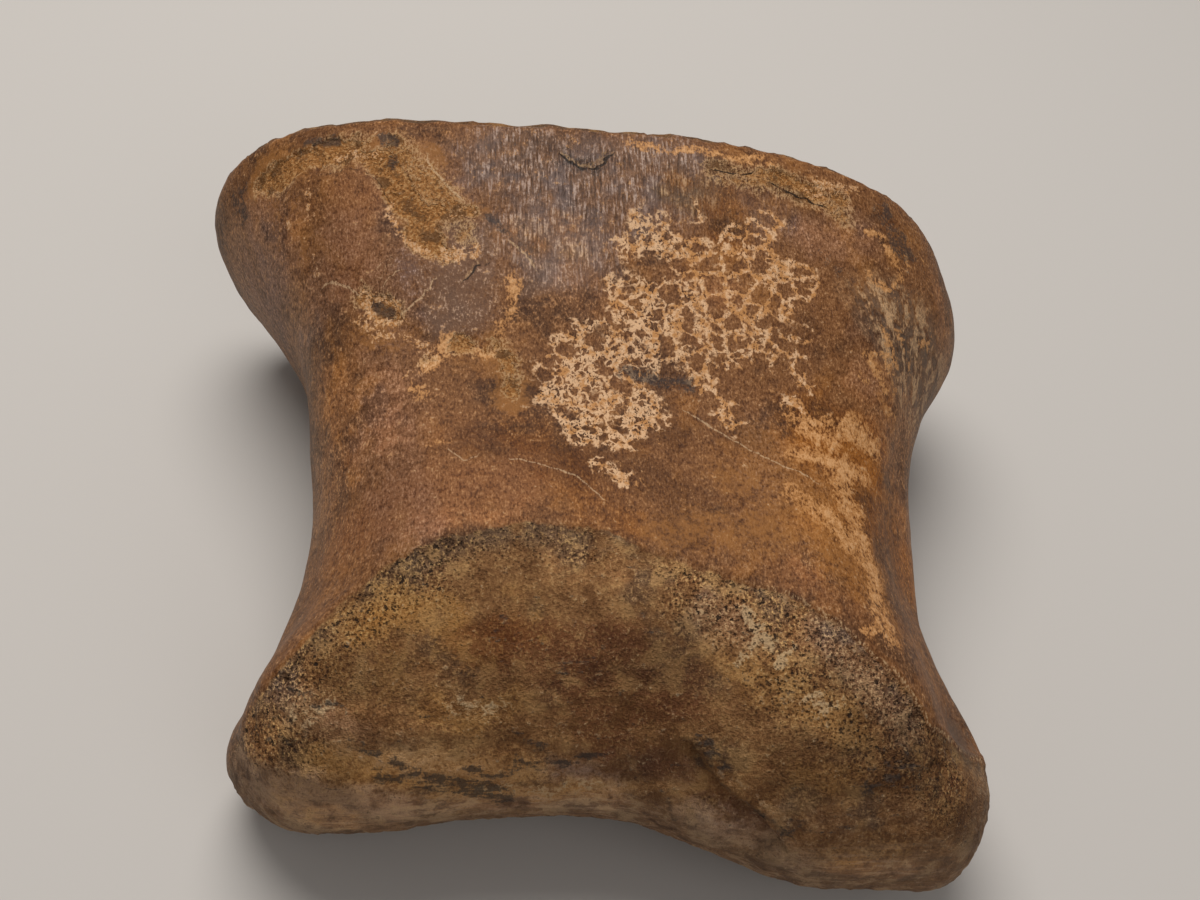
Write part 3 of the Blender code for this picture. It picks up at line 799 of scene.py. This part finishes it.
class Wire:
    """A shader value. Python's arithmetic on it adds Math nodes."""

    def __init__(self, paint, socket):
        self.paint = paint
        self.socket = socket

    def math(self, operation, *others):
        return self.paint.add("ShaderNodeMath", {"operation": operation}, dict(enumerate((self, *others))))

    def __add__(self, other):
        return self.math("ADD", other)

    def __sub__(self, other):
        return self.math("SUBTRACT", other)

    def __mul__(self, other):
        return self.math("MULTIPLY", other)

    def __abs__(self):
        return self.math("ABSOLUTE")

    def __radd__(self, other):
        return self.math("ADD", other)

    def __rmul__(self, other):
        return self.math("MULTIPLY", other)

    def __rsub__(self, other):
        return self.paint.add("ShaderNodeMath", {"operation": "SUBTRACT"}, {0: other, 1: self})

    def larger(self, other):
        return self.math("MAXIMUM", other)

    def fade(self, start, end):
        """0 where the value is at start, 1 at end, and smooth between."""
        rising = start < end
        inputs = {0: self, 1: min(start, end), 2: max(start, end), 3: 1.0 - rising, 4: float(rising)}
        return self.paint.add("ShaderNodeMapRange", {"interpolation_type": "SMOOTHSTEP"}, inputs)


class Paint:
    """Adds nodes to one material."""

    def __init__(self, name):
        self.material = bpy.data.materials.new(name)
        self.material.use_nodes = True
        self.tree = self.material.node_tree
        self.shader = self.tree.nodes["Principled BSDF"]
        self.place = self.add("ShaderNodeTexCoord", {}, {}, "Object")

    def add(self, kind, settings, inputs, output=0):
        """One node: its settings first, then the values or links of its sockets, by name or number."""
        node = self.tree.nodes.new(kind)
        for key, value in settings.items():
            setattr(node, key, value)
        for key, value in inputs.items():
            self.plug(node.inputs[key], value)
        return Wire(self, node.outputs[output])

    def plug(self, socket, value):
        if isinstance(value, Wire):
            self.tree.links.new(value.socket, socket)
        elif socket.type == "RGBA":
            socket.default_value = (*value, 1.0)
        else:
            socket.default_value = value

    def attribute(self, name):
        return self.add("ShaderNodeAttribute", {"attribute_name": name}, {}, "Fac")

    def in_mm(self, stretch=(1.0, 1.0, 1.0)):
        """Object coordinates in millimetres, squeezed along an axis by stretch."""
        scale = tuple(s / MM for s in stretch)
        return self.add("ShaderNodeVectorMath", {"operation": "MULTIPLY"}, {0: self.place, 1: scale})

    def shifted(self, vector, by):
        return self.add("ShaderNodeVectorMath", {"operation": "ADD"}, {0: vector, 1: by})

    def warped(self, vector, size, amount):
        """The coordinates pushed about by noise, by up to amount millimetres."""
        inputs = {"Vector": vector, "Scale": 1 / size, "Detail": 1.0}
        push = self.add("ShaderNodeTexNoise", {}, inputs, "Color")
        centred = self.shifted(push, (-0.5, -0.5, -0.5))
        scaled = self.add("ShaderNodeVectorMath", {"operation": "SCALE"}, {0: centred, "Scale": 2 * amount})
        return self.shifted(vector, scaled)

    def noise(self, vector, size, detail=3.0, roughness=0.55):
        """Soft noise whose lumps are about size millimetres across."""
        inputs = {"Vector": vector, "Scale": 1 / size, "Detail": detail, "Roughness": roughness}
        return self.add("ShaderNodeTexNoise", {}, inputs, "Fac")

    def cells(self, vector, size, feature="F1"):
        """Distance to the nearest cell's point, or to its edge, in cells of size millimetres."""
        inputs = {"Vector": vector, "Scale": 1 / size}
        return self.add("ShaderNodeTexVoronoi", {"feature": feature}, inputs, "Distance")

    def mix(self, factor, first, second, blend="MIX"):
        settings = {"data_type": "RGBA", "blend_type": blend, "clamp_factor": True}
        return self.add("ShaderNodeMix", settings, {0: factor, 6: first, 7: second}, 2)

    def multiplied(self, factor, first, second):
        return self.mix(factor, first, second, "MULTIPLY")

    def set(self, name, value):
        self.plug(self.shader.inputs[name], value)

    def bump(self, height, strength):
        """Turns a height in millimetres into the shader's normal."""
        inputs = {"Height": height, "Distance": MM, "Strength": strength}
        self.set("Normal", self.add("ShaderNodeBump", {}, inputs))


def shared_wear(paint, mm):
    """The fine noises that several marks share."""
    return {
        "speck": paint.noise(paint.in_mm((1.0, 0.55, 0.6)), 0.36, 2.0, 0.7),
        "small": paint.noise(mm, 1.5, 3.0, 0.65),
        "crumbs": paint.noise(paint.shifted(mm, (40.0, 0.0, 0.0)), 0.52, 2.0, 0.65),
        "fibres": paint.noise(paint.in_mm((1.0, 0.13, 0.2)), 0.38, 1.0, 0.6),
        "layers": paint.noise(paint.in_mm((0.13, 1.0, 1.0)), 0.9, 2.0, 0.65),
    }


def ragged(paint, name, wear, low, high, spread):
    """A mark whose soft strength is broken into crumbs with ragged edges."""
    broken = (wear["small"] - 0.5) * spread + (wear["crumbs"] - 0.5) * (0.8 * spread)
    return (paint.attribute(name) + broken).fade(low, high)


def cortex_colour(paint, colours, wear):
    """The smooth outer bone: brown, mottled, finely speckled and fibrous along its length."""
    mottle = paint.attribute("mottle") + paint.attribute("clouds") * 0.45
    colour = paint.mix(mottle.fade(0.0, 0.5) * 0.8, colours.cortex, colours.cortex_dark)
    lighter = (paint.attribute("blotch") + (wear["small"] - 0.5) * 0.8).fade(0.1, 0.6)
    colour = paint.mix(lighter * 0.45, colour, colours.warm)
    colour = paint.mix(ragged(paint, "russet", wear, 0.0, 1.0, 1.0) * 0.85, colour, colours.russet)
    colour = paint.mix(ragged(paint, "warm", wear, 0.1, 0.9, 1.0) * 0.8, colour, colours.warm)
    colour = paint.mix(paint.attribute("side") * 0.5, colour, TINTS["side"])
    light = wear["speck"] + (wear["small"] - 0.5) * 0.3
    colour = paint.mix(light.fade(0.52, 0.70) * 0.60, colour, TINTS["speck"])
    colour = paint.multiplied(light.fade(0.49, 0.34) * 0.80, colour, SHADES["speck"])
    shade = wear["small"] + paint.attribute("clouds") * 0.15
    return paint.multiplied(shade.fade(0.48, 0.28) * 0.45, colour, SHADES["mottle"])


def toned(paint, colour, wear, part):
    """The colour lightened, darkened, cooled and warmed over broad soft areas."""
    rough = (wear["small"] - 0.5) * 0.8
    for tone, factor in TONES.items():
        colour = paint.multiplied((paint.attribute(part + tone) + rough).fade(0.0, 1.0), colour, factor)
    return colour


def glossy_with_painted_glints(paint, colour, wear):
    """Darker outer bone with painted highlights: fine silver-brown glints."""
    zone = ragged(paint, "gloss", wear, 0.1, 0.9, 1.2)
    colour = paint.mix(zone * 0.6, colour, TINTS["gloss"])
    # Painted highlights: silver-brown glints over the plate
    painted_glints = (wear["speck"] + (wear["small"] - 0.5) * 0.8).fade(0.54, 0.74)
    return paint.mix(zone * painted_glints * 0.65, colour, TINTS["glint"])


def striated(paint, colour, colours, wear):
    """Pale fibres with painted glints, and a painted blue-grey sheen, where the outer bone is grooved along
    its length.
    """
    zone = paint.attribute("striated")
    colour = paint.mix(zone * 0.4, colour, TINTS["grooved"])
    # Painted sheen: a blue-grey cast between the fibres
    colour = paint.mix(paint.attribute("painted_sheen") * 0.5, colour, colours.painted_sheen)
    # The fibres' pale colour, made lighter as painted glints
    pale = (wear["fibres"] + (wear["speck"] - 0.5) * 0.5).fade(0.50, 0.68) * wear["small"].fade(0.34, 0.58)
    colour = paint.mix(zone * pale * 0.7, colour, colours.striae)
    return paint.mix(zone * wear["fibres"].fade(0.47, 0.34) * 0.6, colour, TINTS["groove"])


def lace_mask(paint, mm, wear):
    """Thin lines that meet in a net with finer curls in parts of it, broken and ragged."""
    region = paint.attribute("lace") + (wear["small"] - 0.5) * 1.1
    pushed = paint.warped(mm, 1.1, 0.9)
    wide = paint.cells(pushed, 3.9, "DISTANCE_TO_EDGE")
    fine = paint.cells(pushed, 1.6, "DISTANCE_TO_EDGE")
    thickness = paint.attribute("clouds") * 0.05 + (wear["crumbs"] - 0.5) * 0.20
    net = (wide - thickness).fade(0.115, 0.05) * region.fade(0.15, 0.40)
    dense = paint.attribute("dense")
    patchy = (region * 0.3 + paint.attribute("clouds") * 0.9 + dense * 0.5).fade(0.50, 0.75)
    curls = (fine - thickness).fade(0.13, 0.07) * patchy * region.fade(0.25, 0.50)
    return net.larger(curls) * wear["speck"].fade(0.34, 0.47)


def joint_colour(paint, colours, wear):
    """The grainy joint surface: golden brown, grey along its edge and red-brown in its hollow, with painted
    shadow and highlight along its chip and fold, and painted light on its lower left.
    """
    blotch = paint.attribute("blotch") + (wear["small"] - 0.5) * 1.4
    colour = paint.mix(blotch.fade(-0.1, 0.6) * 0.75, colours.joint, colours.joint_dark)
    gold = ragged(paint, "joint_gold", wear, 0.1, 1.0, 2.0) * 0.65
    colour = paint.mix(gold, colour, colours.joint_gold)
    red = ragged(paint, "joint_red", wear, 0.1, 1.0, 2.0) * 0.8
    colour = paint.mix(red, colour, colours.joint_red)
    colour = paint.mix(paint.attribute("joint_edge") * 0.6, colour, TINTS["joint edge"])
    foot = paint.attribute("joint_foot")
    # Paler foot: partly its own colour, partly painted light lifting the down-turned lower left
    smooth = ragged(paint, "joint_smooth", wear, 0.0, 0.9, 1.0)
    colour = paint.mix(smooth * 0.7, colour, TINTS["smooth foot"])
    colour = paint.mix(foot * wear["layers"].fade(0.51, 0.66) * 0.6, colour, TINTS["pale layer"])
    colour = paint.mix(foot * wear["layers"].fade(0.48, 0.36) * 0.5, colour, TINTS["dark layer"])
    rough = paint.attribute("joint_pores") * 0.5 + 0.35 - foot * 0.15
    grit = (wear["crumbs"] + wear["speck"]) * 0.5
    colour = paint.mix(grit.fade(0.51, 0.62) * rough, colour, TINTS["grit"])
    colour = paint.multiplied(grit.fade(0.49, 0.38) * (rough + 0.1), colour, SHADES["grit"])
    patchy = paint.attribute("clouds") + paint.attribute("blotch") * 0.6 + (wear["small"] - 0.5) * 2.2
    colour = paint.mix(patchy.fade(0.10, 0.70) * 0.45, colour, TINTS["patch"])
    colour = paint.multiplied(patchy.fade(-0.1, -0.7) * 0.6, colour, SHADES["patch"])
    colour = paint.mix(foot * 0.35, colour, TINTS["foot"])
    colour = paint.mix(foot * patchy.fade(-0.1, 0.9) * 0.5, colour, TINTS["pale foot"])
    colour = paint.multiplied(foot * patchy.fade(-0.5, -1.0) * 0.7, colour, SHADES["foot"])
    colour = toned(paint, colour, wear, "joint_")
    pale = ragged(paint, "joint_pale", wear, 0.35, 0.85, 2.2) * 0.75
    colour = paint.mix(pale, colour, colours.joint_pale)
    streaky = paint.attribute("joint_dark") + (wear["layers"] - 0.5) * 3.0 + (wear["small"] - 0.5) * 2.6
    streaky = streaky + (wear["speck"] - 0.5) * 1.6
    colour = paint.mix(streaky.fade(0.55, 1.25) * 0.8, colour, TINTS["streak"])
    rough = (wear["small"] - 0.5) * 2.6 + (wear["speck"] - 0.5) * 1.6
    # Painted shadow along the chip and the fold, then a painted highlight on their lips
    line = (paint.attribute("joint_line") + rough).fade(0.35, 1.05)
    colour = paint.mix(line * 0.6, colour, TINTS["step"])
    lip = (paint.attribute("joint_lip") + rough).fade(0.50, 1.05)
    return paint.mix(lip * 0.5, colour, TINTS["step lip"])


def pore_mask(paint, mm, wear):
    """Crowded small pits, and a few wide dark ones where the joint surface is most worn."""
    thickness = paint.attribute("joint_pores") + (wear["small"] - 0.5) * 0.8
    crowded = paint.cells(mm, 0.62) + (wear["crumbs"] - 0.5) * 0.6
    fine = (crowded - thickness * 0.10).fade(0.26, 0.10) * thickness.fade(-0.4, 0.6) * 0.65
    wide = paint.cells(paint.shifted(mm, (7.0, 3.0, 1.0)), 1.9) + (wear["crumbs"] - 0.5) * 1.0
    return fine.larger(wide.fade(0.20, 0.10) * thickness.fade(0.55, 0.95))


def flaked(paint, outer, colours, wear):
    """Crumbly bone laid bare where the outer skin has come away, with a pale broken edge."""
    depth = paint.attribute("flake").larger(paint.attribute("crumbly") * 1.6 - 1.2)
    depth = depth + (wear["small"] - 0.5) * 3.0 + (wear["crumbs"] - 0.5) * 1.6
    bare = depth.fade(-0.2, 0.6)
    under = paint.mix(wear["crumbs"].fade(0.48, 0.66), colours.ochre, TINTS["crumb"])
    deep = (paint.attribute("clouds") + (wear["small"] - 0.5) * 2.6).fade(0.05, 0.5)
    deep = deep.larger(wear["crumbs"].fade(0.46, 0.34))
    under = paint.mix(deep * 0.8, under, TINTS["crevice"])
    outer = paint.mix(bare * 0.85, outer, under)
    edge = depth.fade(-0.8, -0.1) * depth.fade(0.7, 0.0) * wear["speck"].fade(0.42, 0.56)
    return paint.mix(edge * 0.55, outer, TINTS["flake edge"]), bare


def hairlines(paint, outer, colours, wear):
    """Pale hairlines, then black cracks with a chipped pale lip."""
    hair = abs(paint.attribute("hair") + (wear["small"] - 0.5) * 0.7) - paint.attribute("hair_open") * 0.16
    whole = paint.attribute("hair_open").fade(0.05, 0.5) * wear["speck"].fade(0.38, 0.50)
    outer = paint.mix(hair.fade(0.12, -0.02) * whole * 0.65, outer, TINTS["hairline"])
    offset = paint.attribute("crack") + (wear["small"] - 0.5) * 1.0
    opened = paint.attribute("crack_open") * wear["small"].fade(0.32, 0.54)
    crack = (abs(offset) - opened * 0.22).fade(0.10, -0.04) * opened.fade(0.05, 0.3)
    lip = abs(offset - 0.45).fade(0.45, 0.10) * opened * wear["speck"].fade(0.42, 0.56)
    outer = paint.mix(lip * 0.6, outer, TINTS["crack lip"])
    return paint.mix(crack * 0.9, outer, colours.pore), crack


def fan_streaks(paint, outer, colours, wear):
    """Tan and grey-tan streaks that run together down the right flank."""
    inputs = {"X": paint.attribute("fan_angle"), "Y": paint.attribute("fan_reach"), "Z": 0.0}
    along = paint.add("ShaderNodeCombineXYZ", {}, inputs)
    streak = paint.noise(along, 1.0, 3.0, 0.65)
    broken = streak + (wear["small"] - 0.5) * 0.35
    outer = paint.mix(paint.attribute("fan") * streak.fade(0.55, 0.40) * 0.5, outer, TINTS["fan ground"])
    shade = paint.mix(wear["speck"].fade(0.40, 0.62), TINTS["fan streak"], TINTS["fan glint"])
    return paint.mix(broken.fade(0.48, 0.58) * paint.attribute("fan") * 0.9, outer, shade)


def outer_marks(paint, colours, wear, mm):
    """Everything that lies on the outer bone, from the largest areas to the thinnest lines."""
    outer = cortex_colour(paint, colours, wear)
    # Painted glints on the plate, then painted sheen and glints over the fibres
    outer = striated(paint, glossy_with_painted_glints(paint, outer, wear), colours, wear)
    outer = toned(paint, outer, wear, "")
    outer = paint.mix(ragged(paint, "ochre", wear, 0.1, 0.9, 1.8) * 0.7, outer, colours.ochre)
    outer = fan_streaks(paint, outer, colours, wear)
    streaky = paint.attribute("tan") + (wear["speck"] - 0.5) * 2.0 + (wear["small"] - 0.5) * 2.6
    outer = paint.mix(streaky.fade(0.40, 0.90) * 0.8, outer, colours.tan)
    outer = paint.mix(streaky.fade(0.90, 1.25) * 0.7, outer, TINTS["bright tan"])
    outer, bare = flaked(paint, outer, colours, wear)
    lace = lace_mask(paint, mm, wear)
    thread = (wear["small"] + paint.attribute("dense") * 0.05).fade(0.42, 0.62)
    thread = paint.mix(thread, colours.tan, colours.cream)
    outer = paint.mix(lace * 0.92, outer, thread)
    outer = paint.mix(ragged(paint, "stain", wear, 0.35, 1.0, 2.2) * 0.75, outer, colours.stain)
    crumbs = paint.mix(wear["speck"].fade(0.40, 0.62), colours.tan, colours.cream)
    outer = paint.mix(ragged(paint, "cream", wear, 0.55, 0.85, 2.4) * 0.75, outer, crumbs)
    outer, crack = hairlines(paint, outer, colours, wear)
    return outer, bare, lace, crack


def fossil_finish(colours):
    """The whole finish: outer bone, joint bone, pores, crest, rim and the pit's painted shade, with their
    roughness and bump.
    """
    paint = Paint("fossil_bone_surface")
    mm = paint.in_mm()
    wear = shared_wear(paint, mm)
    outer, bare, lace, crack = outer_marks(paint, colours, wear, mm)
    depth = paint.attribute("joint") + (wear["small"] - 0.5) * 1.8
    inside = depth.fade(-0.15, 0.45)
    near = (paint.attribute("near") + (wear["small"] - 0.5) * 1.5).fade(-0.8, 1.2)
    worn = inside.larger(near * 0.8)
    colour = paint.mix(worn, outer, joint_colour(paint, colours, wear))
    pores = pore_mask(paint, mm, wear) * worn
    colour = paint.mix(pores * 0.9, colour, colours.pore)
    crest = abs(depth + 0.4).fade(0.55, 0.10) * wear["speck"].fade(0.46, 0.60) * paint.attribute("crest")
    colour = paint.mix(crest * 0.75, colour, TINTS["joint crest"])
    colour = paint.mix(paint.attribute("rim") * 0.7, colour, TINTS["rim"])
    # Painted shade in the ligament's pit
    pit = (paint.attribute("pit") + (wear["small"] - 0.5) * 1.6).fade(0.2, 0.9)
    colour = paint.mix(pit * 0.7, colour, TINTS["ligament pit"])
    paint.set("Base Color", colour)
    sheen = paint.attribute("striated") * 0.16
    paint.set("Roughness", 0.55 + worn * 0.16 + lace * 0.12 + bare * 0.14 - sheen)
    paint.set("Specular IOR Level", 0.14)
    height = (wear["speck"] - 0.5) * 0.20 + (wear["small"] - 0.5) * 0.26 - bare * 0.30
    height = height + (wear["fibres"] - 0.5) * (paint.attribute("striated") * 0.38 + 0.05)
    height = height + worn.larger(bare) * (wear["crumbs"] - 0.5) * 0.60 - pores * 0.35
    paint.bump(height, 0.9)
    return paint.material


def floor_finish(stage):
    """A plain matt floor with a very faint grain."""
    paint = Paint("pale_floor")
    paint.set("Base Color", stage.floor)
    paint.set("Roughness", 0.7)
    paint.set("Specular IOR Level", 0.2)
    fine = paint.noise(paint.in_mm(), 1.5, 3.0)
    paint.bump((fine - 0.5) * 0.02, 0.3)
    return paint.material


class FOSSIL_OT_bone(bpy.types.Operator):
    """Build the bone's worn surface over the solid and give it its finish"""

    bl_idname = "fossil.bone"
    bl_label = "Toe bone"

    def execute(self, context):
        scene = context.scene
        bone = dressed_bone(scene.fossil_surface)
        bone.data.materials.append(fossil_finish(scene.fossil_colours))
        scene.collection.objects.link(bone)
        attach(bone, "root")
        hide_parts(CAD_NODE)
        return {"FINISHED"}


def floor(scene, stage):
    """The flat sheet that the bone lies on."""
    sheet = bmesh.new()
    bmesh.ops.create_grid(sheet, x_segments=8, y_segments=8, size=FLOOR_HALF)
    mesh = bpy.data.meshes.new("floor")
    sheet.to_mesh(mesh)
    sheet.free()
    mesh.materials.append(floor_finish(stage))
    plane = bpy.data.objects.new("floor", mesh)
    scene.collection.objects.link(plane)


def soft_light(scene, name, power):
    """A round soft lamp that faces the bone."""
    place, size, colour = LAMPS[name]
    lamp = bpy.data.lights.new(name, "AREA")
    lamp.shape = "DISK"
    lamp.size = size
    lamp.energy = power
    lamp.color = colour
    light = bpy.data.objects.new(name, lamp)
    light.location = place
    light.rotation_euler = Vector(place).to_track_quat("Z", "Y").to_euler()
    scene.collection.objects.link(light)


def room_light(scene, strength):
    """Even light from all round."""
    world = bpy.data.worlds.new("studio")
    world.use_nodes = True
    background = world.node_tree.nodes["Background"]
    background.inputs["Color"].default_value = ROOM_COLOUR
    background.inputs["Strength"].default_value = strength
    scene.world = world


def camera(scene, stage):
    """A camera that looks down at the bone as the photograph does."""
    level = math.cos(stage.elevation)
    height = math.sin(stage.elevation)
    back = Vector((math.sin(stage.turn) * level, -math.cos(stage.turn) * level, height))
    lens = bpy.data.cameras.new("camera")
    lens.lens = 50.0
    lens.sensor_width = 36.0
    lens.clip_start = 0.01
    eye = bpy.data.objects.new("camera", lens)
    place = Matrix.Translation(Vector(AIM) + back * stage.distance)
    turned = back.to_track_quat("Z", "Y").to_matrix().to_4x4()
    eye.matrix_world = place @ turned @ Matrix.Rotation(stage.roll, 4, "Z")
    scene.collection.objects.link(eye)
    scene.camera = eye


class FOSSIL_OT_stage(bpy.types.Operator):
    """Lay the pale floor and set the soft lights and the camera"""

    bl_idname = "fossil.stage"
    bl_label = "Stage"

    def execute(self, context):
        scene = context.scene
        stage = scene.fossil_stage
        floor(scene, stage)
        soft_light(scene, "key", stage.key)
        soft_light(scene, "fill", stage.fill)
        room_light(scene, stage.room)
        camera(scene, stage)
        scene.view_settings.view_transform = "Standard"
        return {"FINISHED"}


class FOSSIL_PT_panel(bpy.types.Panel):
    """The bone's sizes and colours, and the buttons that build it"""

    bl_idname = "FOSSIL_PT_panel"
    bl_label = "Fossil toe bone"
    bl_space_type = "VIEW_3D"
    bl_region_type = "UI"
    bl_category = "Fossil"

    def draw(self, context):
        scene = context.scene
        for group in (scene.fossil_surface, scene.fossil_colours, scene.fossil_stage):
            box = self.layout.box()
            for name in group.__annotations__:
                box.prop(group, name)
        for operator in (FOSSIL_OT_bone, FOSSIL_OT_stage):
            self.layout.operator(operator.bl_idname)


CLASSES = (FossilSurface, FossilColours, FossilStage, FOSSIL_OT_bone, FOSSIL_OT_stage, FOSSIL_PT_panel)


def register():
    for cls in CLASSES:
        bpy.utils.register_class(cls)
    bpy.types.Scene.fossil_surface = bpy.props.PointerProperty(type=FossilSurface)
    bpy.types.Scene.fossil_colours = bpy.props.PointerProperty(type=FossilColours)
    bpy.types.Scene.fossil_stage = bpy.props.PointerProperty(type=FossilStage)


def unregister():
    del bpy.types.Scene.fossil_surface
    del bpy.types.Scene.fossil_colours
    del bpy.types.Scene.fossil_stage
    for cls in reversed(CLASSES):
        bpy.utils.unregister_class(cls)


def main():
    register()
    bpy.ops.fossil.bone()
    bpy.ops.fossil.stage()


if __name__ == "__main__":
    main()
